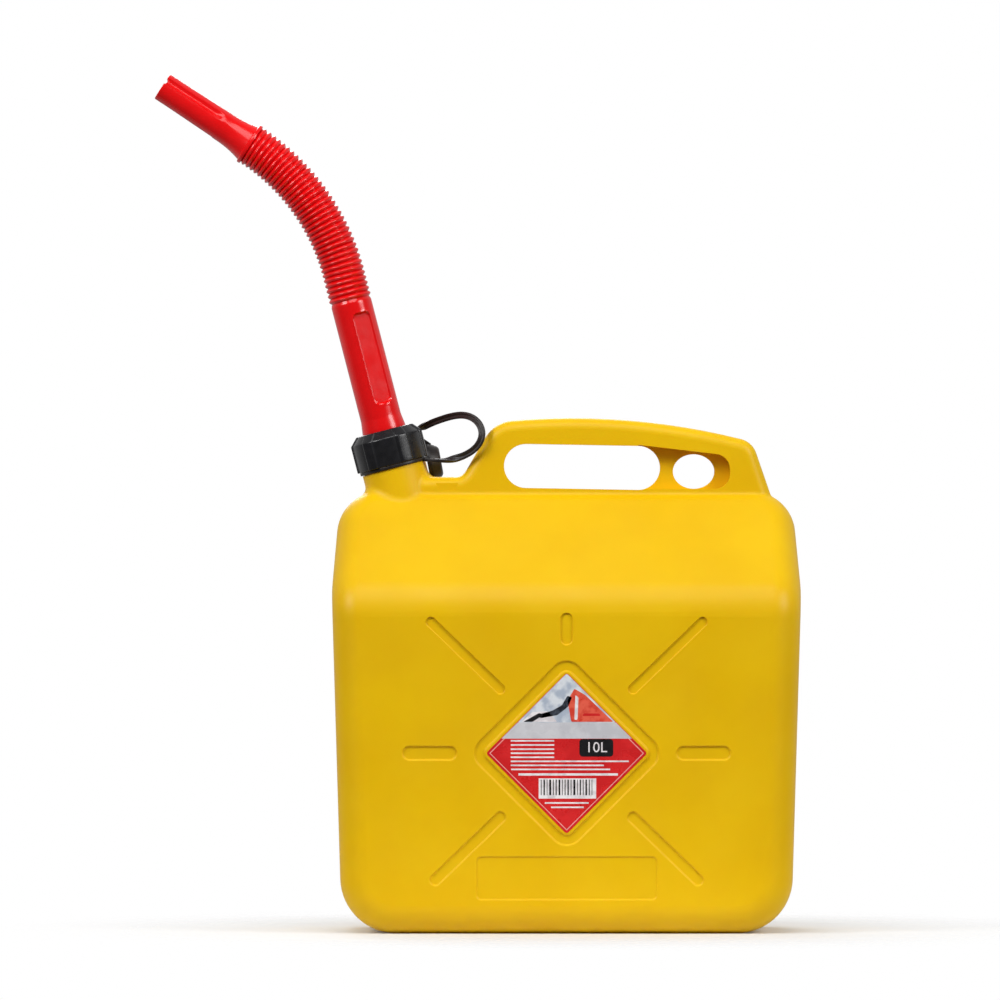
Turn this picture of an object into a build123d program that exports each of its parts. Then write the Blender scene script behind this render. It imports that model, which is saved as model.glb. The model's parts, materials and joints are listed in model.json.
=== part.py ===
"""A 10 litre plastic fuel can with a flexible pouring spout, in millimetres.

The origin is the centre of the base, +X points from the filler neck to the far end of the handle,
+Y points to the back of the can and +Z is up.
"""

import os
from math import cos, radians, sin, sqrt, tan

from build123d import *

os.makedirs("parts", exist_ok=True)

# Can body: a hollow moulding with two tall walls, a roof and a handle along its ridge
CAN_WIDTH = 303
CAN_DEPTH = 155
CAN_HEIGHT = 285
FOOT_TAPER = 6.5
SHOULDER_DROP = 64
EAVE_DROP = 68
ROOF_INSET = 5
RIDGE_WIDTH = 32
FOOT_CORNER = 36
ROOF_CORNER = 28
SHOULDER_BLEND = 90
EAVE_ROUND = 34
RIM_ROUND = 18
CAN_WALL = 2.2

# Handle: a slab along the ridge; its rises are above the ridge and its insets from the end of the can
HANDLE_FRONT_REACH = 65
HANDLE_FRONT_RISE = 44.8
HANDLE_CROWN_REACH = 123.8
HANDLE_CROWN_RISE = 47.6
HANDLE_REAR_INSET = 30.5
HANDLE_REAR_RISE = 32.2
HANDLE_HEEL_INSET = 11.5
HANDLE_ROOT_DEPTH = 23
HANDLE_FRONT_ROUND = 22
HANDLE_REAR_ROUND = 14
HANDLE_ROUND = 7
FRONT_POST_REACH = 71.5
OPENING_GAP = 8.3
HAND_OPENING_HEIGHT = 28.6
HAND_OPENING_RISE = 16
HAND_OPENING_TURN = 1
FINGER_HOLE_WIDTH = 27
FINGER_HOLE_HEIGHT = 22.4
FINGER_HOLE_INSET = 68.6
FINGER_HOLE_RISE = 13
WEB_THICKNESS = 9
WEB_CORNER = 10
WEB_DROP = 7
ROOF_BLEND = 4
NECK_BLEND = 6
VALLEY_RISE = 9.5
VALLEY_REACH = 44.5
VALLEY_ROUND = 8
THUMB_MARK_RADIUS = 8
THUMB_MARK_REACH = 34.5
THUMB_MARK_DROP = 1.2
THUMB_MARK_DEPTH = 0.7

# Shallow sunk details of the tall walls; the ribs stand round the moat
SINK_DEPTH = 1.3
SINK_ROUND = 0.8
LIP_ROUND = 1
PAD_RISE = 116.5
PAD_HALF_DIAGONAL = 55
PAD_CORNER = 5
MOAT_WIDTH = 6.2
STRAIGHT_RIB_WIDTH = 8.5
SIDE_RIB_GAP = 7.2
SIDE_RIB_LENGTH = 34.5
TOP_RIB_GAP = 5.7
TOP_RIB_LENGTH = 21
DIAGONAL_RIB_WIDTH = 7
DIAGONAL_RIB_GAP = 10.9
UPPER_DIAGONAL_LENGTH = 69
LOWER_DIAGONAL_LENGTH = 65
DIAGONAL_TURN = 44
PANEL_WIDTH = 116
PANEL_HEIGHT = 27.5
PANEL_RISE = 36
PANEL_DEPTH = 0.9
PANEL_CORNER = 3

# Label
LABEL_MARGIN = 3
LABEL_CORNER = 2
LABEL_THICKNESS = 0.3

# Filler neck: it leans, and all of its fittings are measured along its axis from its seat
NECK_INSET = 39.7
NECK_RISE = 15
NECK_LEAN = 14.5
NECK_BORE_RADIUS = 15.5
NECK_WALL = 2.7
NECK_STEP = 1.2
NECK_ROOT_DEPTH = 24
NECK_HEIGHT = 18.5
RING_SEAT_STEP = 1.6
RING_SEAT_HEIGHT = 2.1
THREAD_DEPTH = 1.5
THREAD_PITCH = 6
THREAD_WIDTH = 2.2
THREAD_LENGTH = 9.6
THREAD_RIM_GAP = 2.9
THREAD_BITE = 0.6

# Screw collar
COLLAR_WALL = 2.5
COLLAR_SHELF = 2.7
COLLAR_CHAMFER = 5
COLLAR_CHAMFER_HEIGHT = 4.8
COLLAR_LIP = 2.6
GRIP_RIBS = 6
GRIP_RIB_WIDTH = 7.8
GRIP_RIB_HEIGHT = 1.1
GRIP_RIB_TURN = 296

# Spout
GASKET_THICKNESS = 1.8
GASKET_WIDTH = 2.3
FLANGE_THICKNESS = 2.4
SPIGOT_LENGTH = 3
SPIGOT_WALL = 1.8
STEM_BORE_RADIUS = 10.8
STEM_WALL = 2.5
STEM_FOOT_FLARE = 1
STEM_FOOT_LENGTH = 9
STEM_TOP = 113
STEM_TOP_CHAMFER = 2.2
STEM_PANEL_WIDTH = 12.2
STEM_PANEL_DEPTH = 1.4
STEM_PANEL_FOOT_GAP = 16.8
STEM_PANEL_TOP_GAP = 9.5
STEM_PANEL_TURN = 18
HOSE_WALL = 1.6
PLEAT_DEPTH = 1.35
HOSE_BEND_RADIUS = 143
HOSE_STRAIGHT_PLEATS = 5
HOSE_LINKS = 5
LINK_BEND = 7.02
PLEATS_PER_LINK = 5
NOZZLE_LENGTH = 69.5
NOZZLE_RING_STEP = 0.25
NOZZLE_RING_WIDTH = 3
NOZZLE_ROOT_STEP = 0.2
NOZZLE_TAPER = 0.4
NOZZLE_FLARE_LENGTH = 22
NOZZLE_TIP_RADIUS = 9.65
NOZZLE_TIP_LENGTH = 12
NOZZLE_WALL = 2.95
FLUTES = 3
FLUTE_RADIUS = 2.4
FLUTE_DEPTH = 1.7
FLUTE_GAP = 1.5
FLUTE_TURN = 300

# Retainer: a ring round the neck, a flat strap and the closing plug. The places are measured from the
# ring's rim on the side of the handle: along the can, to the back and up
RING_WIDTH = 2.2
RING_THICKNESS = 1.8
STRAP_WIDTH = 4.6
STRAP_THICKNESS = 2.2
PLUG_RADIUS = 13
PLUG_FACE_RADIUS = 9.7
PLUG_THICKNESS = 9
PLUG_FLANGE = 3
PLUG_HOLLOW_RADIUS = 8
PLUG_PLACE = (8.6, 27, 5.5)
PLUG_LEAN = 10.5
NEAR_ROUTE = ((-2.7, -7.2, 5.9), (10.6, -12, 4.3), (22.3, -17, 7.2), (32.6, -20.5, 13.5), (36.3, -20, 22))
NEAR_RADII = (25, 25, 15)
FAR_ROUTE = (
    (36.3, -19.5, 24.5),
    (32.1, -15, 31.5),
    (22.3, -4, 35.4),
    (7.7, 9, 31),
    (-2.9, 20, 25.5),
    (0.1, 25.5, 16.5),
)
FAR_RADII = (6, 9, 25, 6)

# Clearances
RUNNING_CLEARANCE = 0.2
SEAT_CLEARANCE = 0.05
LOOSE_CLEARANCE = 0.4

# Places on the can
half_width = CAN_WIDTH / 2
half_depth = CAN_DEPTH / 2
half_ridge = RIDGE_WIDTH / 2
half_foot = half_width - FOOT_TAPER
half_roof = half_width - ROOF_INSET
shoulder_height = CAN_HEIGHT - SHOULDER_DROP
eave_height = CAN_HEIGHT - EAVE_DROP
neck_place = NECK_INSET - half_width
handle_front = (neck_place + HANDLE_FRONT_REACH, CAN_HEIGHT + HANDLE_FRONT_RISE)
handle_crown = (neck_place + HANDLE_CROWN_REACH, CAN_HEIGHT + HANDLE_CROWN_RISE)
handle_rear = (half_width - HANDLE_REAR_INSET, CAN_HEIGHT + HANDLE_REAR_RISE)
handle_root = CAN_HEIGHT - HANDLE_ROOT_DEPTH
valley_height = CAN_HEIGHT + VALLEY_RISE
valley_end = (neck_place + VALLEY_REACH, valley_height)
finger_hole = (half_width - FINGER_HOLE_INSET, CAN_HEIGHT + FINGER_HOLE_RISE)
hand_left = neck_place + FRONT_POST_REACH
hand_right = finger_hole[0] - FINGER_HOLE_WIDTH / 2 - OPENING_GAP
hand_opening = ((hand_left + hand_right) / 2, CAN_HEIGHT + HAND_OPENING_RISE)
pad_side = PAD_HALF_DIAGONAL * sqrt(2)
moat_side = pad_side + 2 * MOAT_WIDTH
moat_half_diagonal = moat_side / sqrt(2)
label_side = (PAD_HALF_DIAGONAL - LABEL_MARGIN) * sqrt(2)
sunk_ribs = (
    (0, STRAIGHT_RIB_WIDTH, moat_half_diagonal + SIDE_RIB_GAP, SIDE_RIB_LENGTH),
    (180, STRAIGHT_RIB_WIDTH, moat_half_diagonal + SIDE_RIB_GAP, SIDE_RIB_LENGTH),
    (90, STRAIGHT_RIB_WIDTH, moat_half_diagonal + TOP_RIB_GAP, TOP_RIB_LENGTH),
    (DIAGONAL_TURN, DIAGONAL_RIB_WIDTH, moat_side / 2 + DIAGONAL_RIB_GAP, UPPER_DIAGONAL_LENGTH),
    (180 - DIAGONAL_TURN, DIAGONAL_RIB_WIDTH, moat_side / 2 + DIAGONAL_RIB_GAP, UPPER_DIAGONAL_LENGTH),
    (-DIAGONAL_TURN, DIAGONAL_RIB_WIDTH, moat_side / 2 + DIAGONAL_RIB_GAP, LOWER_DIAGONAL_LENGTH),
    (180 + DIAGONAL_TURN, DIAGONAL_RIB_WIDTH, moat_side / 2 + DIAGONAL_RIB_GAP, LOWER_DIAGONAL_LENGTH),
)

# Radii and heights about the neck's axis, from the neck out to the collar and up to the spout
neck = Plane(
    origin=(neck_place, 0, CAN_HEIGHT + NECK_RISE),
    x_dir=(cos(radians(NECK_LEAN)), 0, sin(radians(NECK_LEAN))),
    z_dir=(-sin(radians(NECK_LEAN)), 0, cos(radians(NECK_LEAN))),
)
neck_axis = Axis(neck.origin, neck.z_dir)
thread_core = NECK_BORE_RADIUS + NECK_WALL
thread_crest = thread_core + THREAD_DEPTH
ring_seat_radius = thread_core + RING_SEAT_STEP
neck_radius = ring_seat_radius + NECK_STEP
thread_start = NECK_HEIGHT - THREAD_RIM_GAP - THREAD_LENGTH
collar_bottom = RING_SEAT_HEIGHT + RUNNING_CLEARANCE + SEAT_CLEARANCE
collar_bore = thread_crest + LOOSE_CLEARANCE
collar_thread_radius = thread_core + LOOSE_CLEARANCE
collar_radius = collar_bore + COLLAR_WALL
collar_top_radius = collar_radius - COLLAR_CHAMFER
stem_radius = STEM_BORE_RADIUS + STEM_WALL
stem_foot_radius = stem_radius + STEM_FOOT_FLARE
flange_radius = thread_core
gasket_bottom = NECK_HEIGHT + SEAT_CLEARANCE
flange_bottom = gasket_bottom + GASKET_THICKNESS + SEAT_CLEARANCE
flange_top = flange_bottom + FLANGE_THICKNESS
lip_bottom = flange_top + SEAT_CLEARANCE
collar_top = lip_bottom + COLLAR_LIP
flange_hole_radius = flange_radius + LOOSE_CLEARANCE
stem_hole_radius = stem_foot_radius + LOOSE_CLEARANCE
spigot_radius = NECK_BORE_RADIUS - LOOSE_CLEARANCE
spigot_bottom = NECK_HEIGHT - SPIGOT_LENGTH
stem_panel_low = collar_top + STEM_PANEL_FOOT_GAP
stem_panel_high = STEM_TOP - STEM_PANEL_TOP_GAP
stem_panel_side = neck.offset((stem_panel_low + stem_panel_high) / 2).rotated((0, 0, STEM_PANEL_TURN - 90))
stem_panel = Plane(origin=stem_panel_side.origin, x_dir=neck.z_dir, z_dir=stem_panel_side.x_dir)

# The hose bends at hinges: each plane stands on one and looks along the link after it
hose_root = STEM_BORE_RADIUS + HOSE_WALL
hose_crest = hose_root + PLEAT_DEPTH
link_length = 2 * HOSE_BEND_RADIUS * tan(radians(LINK_BEND / 2))
pleat = link_length / PLEATS_PER_LINK
end_pleats = (PLEATS_PER_LINK - 1) // 2
stem_pleats = HOSE_STRAIGHT_PLEATS + end_pleats
bends = []
bend_point = neck.origin + neck.z_dir * (STEM_TOP + HOSE_STRAIGHT_PLEATS * pleat + link_length / 2)
for bend in range(HOSE_LINKS + 1):
    lean = radians(NECK_LEAN + LINK_BEND * (bend + 1))
    bends.append(Plane(origin=bend_point, x_dir=(cos(lean), 0, sin(lean)), z_dir=(-sin(lean), 0, cos(lean))))
    bend_point = bend_point + bends[-1].z_dir * link_length

# Nozzle, along its own axis from the last hinge
nozzle_ring = link_length / 2
nozzle_ring_radius = hose_crest + NOZZLE_RING_STEP
nozzle_root_radius = hose_root + NOZZLE_ROOT_STEP
nozzle_taper_radius = NOZZLE_TIP_RADIUS + NOZZLE_TAPER
nozzle_end = nozzle_ring + NOZZLE_LENGTH
nozzle_taper_length = NOZZLE_LENGTH - NOZZLE_TIP_LENGTH - NOZZLE_FLARE_LENGTH
flute_length = NOZZLE_LENGTH - NOZZLE_FLARE_LENGTH - FLUTE_GAP

# Retainer
ring_hole_radius = ring_seat_radius + RUNNING_CLEARANCE
ring_radius = ring_hole_radius + RING_WIDTH
ring_bottom = (collar_bottom - RING_THICKNESS) / 2
ring_rim = neck.origin + Vector(ring_radius, 0, 0)
plug_face = Plane(
    origin=ring_rim + Vector(PLUG_PLACE),
    x_dir=(sin(radians(PLUG_LEAN)), 0, -cos(radians(PLUG_LEAN))),
    z_dir=(cos(radians(PLUG_LEAN)), 0, sin(radians(PLUG_LEAN))),
)


def front_outline(inset):
    """The can seen from the front, drawn in from its edge by inset."""
    with BuildSketch(Plane.XZ) as outline:
        Polygon(
            (-half_foot, 0),
            (half_foot, 0),
            (half_width, shoulder_height),
            (half_roof, CAN_HEIGHT),
            (-half_roof, CAN_HEIGHT),
            (-half_width, shoulder_height),
            align=None,
        )
        fillet(outline.vertices().group_by(Axis.Y)[0], FOOT_CORNER)
        fillet(outline.vertices().group_by(Axis.Y)[-1], ROOF_CORNER)
        fillet(outline.vertices().filter_by(lambda v: abs(v.Y - shoulder_height) < 0.1), SHOULDER_BLEND)
        if inset:
            offset(amount=-inset, mode=Mode.REPLACE)
    return outline.sketch


def side_outline(inset):
    """The can seen from its end, drawn in from its edge by inset."""
    with BuildSketch(Plane.YZ) as outline:
        Polygon(
            (-half_depth, 0),
            (half_depth, 0),
            (half_depth, eave_height),
            (half_ridge, CAN_HEIGHT),
            (-half_ridge, CAN_HEIGHT),
            (-half_depth, eave_height),
            align=None,
        )
        fillet(outline.vertices().filter_by(lambda v: abs(v.Y - eave_height) < 0.1), EAVE_ROUND)
        if inset:
            offset(amount=-inset, mode=Mode.REPLACE)
    return outline.sketch


def is_rim(edge, inset):
    """Tell the edges that run round the two tall walls and their roofs from all the others."""
    middle = edge.center()
    along_x = abs(edge.tangent_at(0.5).X) > 0.999 and edge.geom_type == GeomType.LINE
    along_y = abs(edge.tangent_at(0.5).Y) > 0.999 and edge.geom_type == GeomType.LINE
    seam = along_x and inset + 1 < middle.Z < CAN_HEIGHT - inset - 1
    return abs(middle.Y) > 1 and not along_y and not seam


with BuildPart() as hull:
    extrude(front_outline(0), amount=half_depth, both=True)
    extrude(side_outline(0), amount=CAN_WIDTH, both=True, mode=Mode.INTERSECT)
    fillet(hull.edges().filter_by(lambda e: is_rim(e, 0)), RIM_ROUND)

with BuildPart() as fuel_space:
    extrude(front_outline(CAN_WALL), amount=half_depth - CAN_WALL, both=True)
    extrude(side_outline(CAN_WALL), amount=CAN_WIDTH, both=True, mode=Mode.INTERSECT)
    fillet(fuel_space.edges().filter_by(lambda e: is_rim(e, CAN_WALL)), RIM_ROUND - CAN_WALL)


def handle_outline(inset):
    """The handle slab seen from the front, from its valley beside the neck down into the roof."""
    with BuildSketch(Plane.XZ) as outline:
        with BuildLine():
            riser = Polyline((neck_place, handle_root), (neck_place, valley_height), valley_end, handle_front)
            crest = ThreePointArc(riser @ 1, handle_crown, handle_rear)
            Polyline(crest @ 1, (half_width - HANDLE_HEEL_INSET, handle_root), riser @ 0)
        make_face()
        fillet(outline.vertices().sort_by_distance(valley_end)[0], VALLEY_ROUND)
        fillet(outline.vertices().sort_by_distance(handle_front)[0], HANDLE_FRONT_ROUND)
        fillet(outline.vertices().sort_by_distance(handle_rear)[0], HANDLE_REAR_ROUND)
        if inset:
            offset(amount=-inset, mode=Mode.REPLACE)
    return outline.sketch


def handle_openings(outset):
    """The hand opening and the finger hole, grown by outset."""
    with BuildSketch(Plane.XZ) as outline:
        with Locations(hand_opening):
            length = hand_right - hand_left + 2 * outset
            SlotOverall(length, HAND_OPENING_HEIGHT + 2 * outset, rotation=-HAND_OPENING_TURN)
        with Locations(finger_hole):
            Ellipse(FINGER_HOLE_WIDTH / 2 + outset, FINGER_HOLE_HEIGHT / 2 + outset)
    return outline.sketch


def thumb_mark():
    """The half disc, flat side up, that is sunk in the handle slab under the valley."""
    place = (neck_place + THUMB_MARK_REACH, valley_height - THUMB_MARK_DROP)
    with BuildSketch(Plane.XZ) as outline:
        with Locations(place):
            Circle(THUMB_MARK_RADIUS)
            upper_half = (Align.CENTER, Align.MIN)
            Rectangle(2 * THUMB_MARK_RADIUS, THUMB_MARK_RADIUS, align=upper_half, mode=Mode.SUBTRACT)
    return outline.sketch


def web_outline(outset):
    """The sunk web behind the hand opening that the finger hole goes through, grown by outset."""
    left = hand_right - HAND_OPENING_HEIGHT / 2
    right = finger_hole[0] + FINGER_HOLE_WIDTH / 2 + WEB_CORNER
    floor = hand_opening[1] - HAND_OPENING_HEIGHT / 2
    ceiling = hand_opening[1] + HAND_OPENING_HEIGHT / 2
    with BuildSketch(Plane.XZ) as outline:
        Polygon((left, floor), (right, floor), (right, ceiling - WEB_DROP), (left, ceiling), align=None)
        fillet(outline.vertices().group_by(Axis.X)[-1], WEB_CORNER)
        if outset:
            offset(amount=outset)
    return outline.sketch


def neck_disc(radius, height):
    """A disc across the neck's axis, at a height above its seat."""
    with BuildSketch(neck.offset(height)) as disc:
        Circle(radius)
    return disc.sketch


def screw_thread(start, root_radius, crest_radius):
    """A helical rib round the neck's axis, from a root in a wall to a crest inside or outside it."""
    root = -THREAD_BITE if crest_radius > root_radius else THREAD_BITE
    crest = crest_radius - root_radius
    with BuildPart() as thread:
        centre = neck.offset(start).origin
        with BuildLine():
            helix = Helix(THREAD_PITCH, THREAD_LENGTH, root_radius, centre, neck.z_dir)
        outward = (helix @ 0 - centre).normalized()
        with BuildSketch(Plane(origin=helix @ 0, x_dir=outward, z_dir=helix % 0)):
            Polygon(
                (root, -THREAD_WIDTH / 2),
                (root, THREAD_WIDTH / 2),
                (crest, THREAD_WIDTH / 4),
                (crest, -THREAD_WIDTH / 4),
                align=None,
            )
        sweep(is_frenet=True)
    return thread.part


def lathe_plane(plane):
    """The plane through a turned piece's axis: radius across, height along it."""
    return Plane(origin=plane.origin, x_dir=plane.x_dir, z_dir=(0, -1, 0))


def pleats(start, count):
    """The outline of hose pleats from a root at start: crests and roots, one pleat apart."""
    points = [(hose_root, start)]
    for turn in range(count):
        points.append((hose_crest, start + (turn + 0.5) * pleat))
        points.append((hose_root, start + (turn + 1) * pleat))
    return points


def collar_outline(grow):
    """Half the collar's section, with its outside grown by grow."""
    radius = collar_radius + grow
    return (
        (collar_bore, collar_bottom),
        (radius, collar_bottom),
        (radius, collar_top - COLLAR_CHAMFER_HEIGHT),
        (collar_top_radius, collar_top),
        (stem_hole_radius, collar_top),
        (stem_hole_radius, lip_bottom),
        (flange_hole_radius, lip_bottom),
        (flange_hole_radius, lip_bottom - COLLAR_SHELF),
        (collar_bore, lip_bottom - COLLAR_SHELF),
    )


with BuildPart() as handle:
    extrude(handle_outline(0), amount=half_ridge, both=True)
    upper_edges = handle.edges().filter_by(lambda e: abs(e.center().Y) > 1 and e.center().Z > CAN_HEIGHT)
    fillet(upper_edges, HANDLE_ROUND)

with BuildPart() as handle_space:
    extrude(handle_outline(CAN_WALL), amount=half_ridge - CAN_WALL, both=True)
    fillet(handle_space.edges().filter_by(lambda e: abs(e.center().Y) > 1), HANDLE_ROUND - CAN_WALL)
    extrude(handle_openings(CAN_WALL), amount=RIDGE_WIDTH, both=True, mode=Mode.SUBTRACT)
    extrude(web_outline(CAN_WALL), amount=RIDGE_WIDTH, both=True, mode=Mode.SUBTRACT)

with BuildPart() as wall_sinks:
    with BuildSketch(Plane.XZ.offset(half_depth)):
        with Locations((0, PAD_RISE)):
            for turn, width, start, length in sunk_ribs:
                with PolarLocations(start + length / 2, 1, start_angle=turn):
                    SlotOverall(length, width)
    extrude(amount=-SINK_DEPTH)
    with BuildSketch(Plane.XZ.offset(half_depth)) as moat:
        with Locations((0, PAD_RISE)):
            RectangleRounded(moat_side, moat_side, PAD_CORNER + MOAT_WIDTH, rotation=45)
            RectangleRounded(pad_side, pad_side, PAD_CORNER, rotation=45, mode=Mode.SUBTRACT)
    extrude(amount=-SINK_DEPTH)
    with BuildSketch(Plane.XZ.offset(half_depth)):
        with Locations((0, PANEL_RISE)):
            RectangleRounded(PANEL_WIDTH, PANEL_HEIGHT, PANEL_CORNER)
    extrude(amount=-PANEL_DEPTH)
    fillet(wall_sinks.edges().filter_by(lambda e: e.center().Y > 0.1 - half_depth), SINK_ROUND)
    mirror(about=Plane.XZ)

with BuildPart() as can_walls:
    add(hull.part)
    add(wall_sinks.part, mode=Mode.SUBTRACT)
    tall_walls = can_walls.faces().filter_by(lambda f: half_depth - 0.1 < abs(f.center().Y))
    pads = tall_walls.filter_by(lambda f: not f.inner_wires())
    lips = [edge for wall in tall_walls for wire in wall.inner_wires() for edge in wire.edges()]
    fillet(lips + pads.edges(), LIP_ROUND)

with BuildPart() as can_body:
    add(can_walls.part)
    add(handle.part)
    fillet(can_body.edges(Select.NEW), ROOF_BLEND)
    extrude(neck_disc(neck_radius, -NECK_ROOT_DEPTH), amount=NECK_ROOT_DEPTH)
    fillet(can_body.edges(Select.NEW), NECK_BLEND)
    for side in (-1, 1):
        mark = thumb_mark().moved(Location((0, side * (half_ridge - THUMB_MARK_DEPTH), 0)))
        extrude(mark, amount=RIDGE_WIDTH, dir=(0, side, 0), mode=Mode.SUBTRACT)
    extrude(web_outline(0), amount=RIDGE_WIDTH, both=True, mode=Mode.SUBTRACT)
    extrude(web_outline(SINK_ROUND), amount=WEB_THICKNESS / 2, both=True)
    extrude(handle_openings(0), amount=RIDGE_WIDTH, both=True, mode=Mode.SUBTRACT)
    add(fuel_space.part, mode=Mode.SUBTRACT)
    add(handle_space.part, mode=Mode.SUBTRACT)
    extrude(neck_disc(ring_seat_radius, 0), amount=RING_SEAT_HEIGHT)
    extrude(neck_disc(thread_core, RING_SEAT_HEIGHT), amount=NECK_HEIGHT - RING_SEAT_HEIGHT)
    neck_bore = neck_disc(NECK_BORE_RADIUS, -NECK_ROOT_DEPTH)
    extrude(neck_bore, amount=NECK_ROOT_DEPTH + NECK_HEIGHT, mode=Mode.SUBTRACT)
    add(screw_thread(thread_start, thread_core, thread_crest))
can_body.part.label = "can_body"
export_step(can_body.part, "parts/can_body.step")

with BuildPart() as front_label:
    with BuildSketch(Plane.XZ.offset(half_depth)):
        with Locations((0, PAD_RISE)):
            RectangleRounded(label_side, label_side, LABEL_CORNER, rotation=45)
    extrude(amount=LABEL_THICKNESS)
front_label.part.label = "front_label"
export_step(front_label.part, "parts/front_label.step")

with BuildPart() as grip_ribs:
    with BuildSketch(lathe_plane(neck)):
        Polygon(*collar_outline(GRIP_RIB_HEIGHT), align=None)
    revolve(axis=neck_axis)
    with BuildSketch(neck.offset(collar_bottom)):
        with PolarLocations(collar_radius, GRIP_RIBS, start_angle=GRIP_RIB_TURN):
            Rectangle(COLLAR_CHAMFER + 2 * GRIP_RIB_HEIGHT, GRIP_RIB_WIDTH)
    extrude(amount=collar_top, mode=Mode.INTERSECT)

with BuildPart() as screw_collar:
    with BuildSketch(lathe_plane(neck)):
        Polygon(*collar_outline(0), align=None)
    revolve(axis=neck_axis)
    add(grip_ribs.part)
    add(screw_thread(thread_start + THREAD_PITCH / 2, collar_bore, collar_thread_radius))
screw_collar.part.label = "screw_collar"
export_step(screw_collar.part, "parts/screw_collar.step")

with BuildPart() as spout_gasket:
    with BuildSketch(neck.offset(gasket_bottom)):
        Circle(NECK_BORE_RADIUS + GASKET_WIDTH)
        Circle(NECK_BORE_RADIUS, mode=Mode.SUBTRACT)
    extrude(amount=GASKET_THICKNESS)
spout_gasket.part.label = "spout_gasket"
export_step(spout_gasket.part, "parts/spout_gasket.step")

with BuildPart() as spout_stem:
    with BuildSketch(lathe_plane(neck)):
        Polygon(
            (spigot_radius - SPIGOT_WALL, spigot_bottom),
            (spigot_radius, spigot_bottom),
            (spigot_radius, flange_bottom),
            (flange_radius, flange_bottom),
            (flange_radius, flange_top),
            (stem_foot_radius, flange_top),
            (stem_foot_radius, collar_top),
            (stem_radius, collar_top + STEM_FOOT_LENGTH),
            (stem_radius, STEM_TOP - STEM_TOP_CHAMFER),
            *pleats(STEM_TOP, stem_pleats),
            (STEM_BORE_RADIUS, STEM_TOP + stem_pleats * pleat),
            (STEM_BORE_RADIUS, flange_top),
            align=None,
        )
    revolve(axis=neck_axis)
    with BuildSketch(stem_panel.offset(stem_radius - STEM_PANEL_DEPTH)):
        SlotOverall(stem_panel_high - stem_panel_low, STEM_PANEL_WIDTH)
    extrude(amount=stem_radius, mode=Mode.SUBTRACT)
spout_stem.part.label = "spout_stem"
export_step(spout_stem.part, "parts/spout_stem.step")

for number, plane in enumerate(bends[:-1], start=1):
    with BuildPart() as hose_link:
        with BuildSketch(lathe_plane(plane)):
            Polygon(
                *pleats(pleat / 2, PLEATS_PER_LINK - 1),
                (STEM_BORE_RADIUS, link_length - pleat / 2),
                (STEM_BORE_RADIUS, pleat / 2),
                align=None,
            )
        revolve(axis=Axis(plane.origin, plane.z_dir))
    hose_link.part.label = f"hose_link_{number}"
    export_step(hose_link.part, f"parts/hose_link_{number}.step")

with BuildPart() as nozzle:
    with BuildSketch(lathe_plane(bends[-1])):
        with BuildLine():
            foot = Polyline(
                (STEM_BORE_RADIUS, pleat / 2),
                *pleats(pleat / 2, end_pleats),
                (nozzle_ring_radius, nozzle_ring),
                (nozzle_ring_radius, nozzle_ring + NOZZLE_RING_WIDTH),
                (nozzle_root_radius, nozzle_ring + NOZZLE_RING_WIDTH),
            )
            flare = TangentArc(
                (nozzle_taper_radius, nozzle_ring + NOZZLE_FLARE_LENGTH),
                foot @ 1,
                tangent=(NOZZLE_TAPER, -nozzle_taper_length),
            )
            Polyline(
                flare @ 0,
                (NOZZLE_TIP_RADIUS, nozzle_end - NOZZLE_TIP_LENGTH),
                (NOZZLE_TIP_RADIUS, nozzle_end),
                (NOZZLE_TIP_RADIUS - NOZZLE_WALL, nozzle_end),
                (nozzle_taper_radius - NOZZLE_WALL, nozzle_ring + NOZZLE_FLARE_LENGTH),
                (STEM_BORE_RADIUS, nozzle_ring),
                foot @ 0,
            )
        make_face()
    revolve(axis=Axis(bends[-1].origin, bends[-1].z_dir))
    with BuildSketch(bends[-1].offset(nozzle_end)):
        with PolarLocations(NOZZLE_TIP_RADIUS + FLUTE_RADIUS - FLUTE_DEPTH, FLUTES, start_angle=FLUTE_TURN):
            Circle(FLUTE_RADIUS)
    extrude(amount=-flute_length, mode=Mode.SUBTRACT)
nozzle.part.label = "nozzle"
export_step(nozzle.part, "parts/nozzle.step")

with BuildPart() as retainer_ring:
    with BuildSketch(neck.offset(ring_bottom)):
        Circle(ring_radius)
        Circle(ring_hole_radius, mode=Mode.SUBTRACT)
    extrude(amount=RING_THICKNESS)
retainer_ring.part.label = "retainer_ring"
export_step(retainer_ring.part, "parts/retainer_ring.step")

with BuildPart() as closing_plug:
    with BuildSketch(lathe_plane(plug_face)):
        Polygon(
            (0, 0),
            (PLUG_FACE_RADIUS, 0),
            (PLUG_RADIUS, PLUG_FLANGE - PLUG_THICKNESS),
            (PLUG_RADIUS, -PLUG_THICKNESS),
            (PLUG_HOLLOW_RADIUS, -PLUG_THICKNESS),
            (PLUG_HOLLOW_RADIUS, -PLUG_FLANGE),
            (0, -PLUG_FLANGE),
            align=None,
        )
    revolve(axis=Axis(plug_face.origin, plug_face.z_dir))
closing_plug.part.label = "closing_plug"
export_step(closing_plug.part, "parts/closing_plug.step")


def strap_solid(places, radii):
    """A flat strap along a route with rounded corners, its width level and across the can at the start."""
    with BuildPart() as strap:
        with BuildLine():
            route = FilletPolyline(*(ring_rim + Vector(place) for place in places), radius=radii)
        with BuildSketch(Plane(origin=route @ 0, x_dir=(0, 1, 0), z_dir=route % 0)):
            Rectangle(STRAP_WIDTH, STRAP_THICKNESS)
        sweep()
    return strap.part


with BuildPart() as strap_near:
    add(strap_solid(NEAR_ROUTE, NEAR_RADII))
    add(retainer_ring.part, mode=Mode.SUBTRACT)
strap_near.part.label = "strap_near"
export_step(strap_near.part, "parts/strap_near.step")

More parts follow.
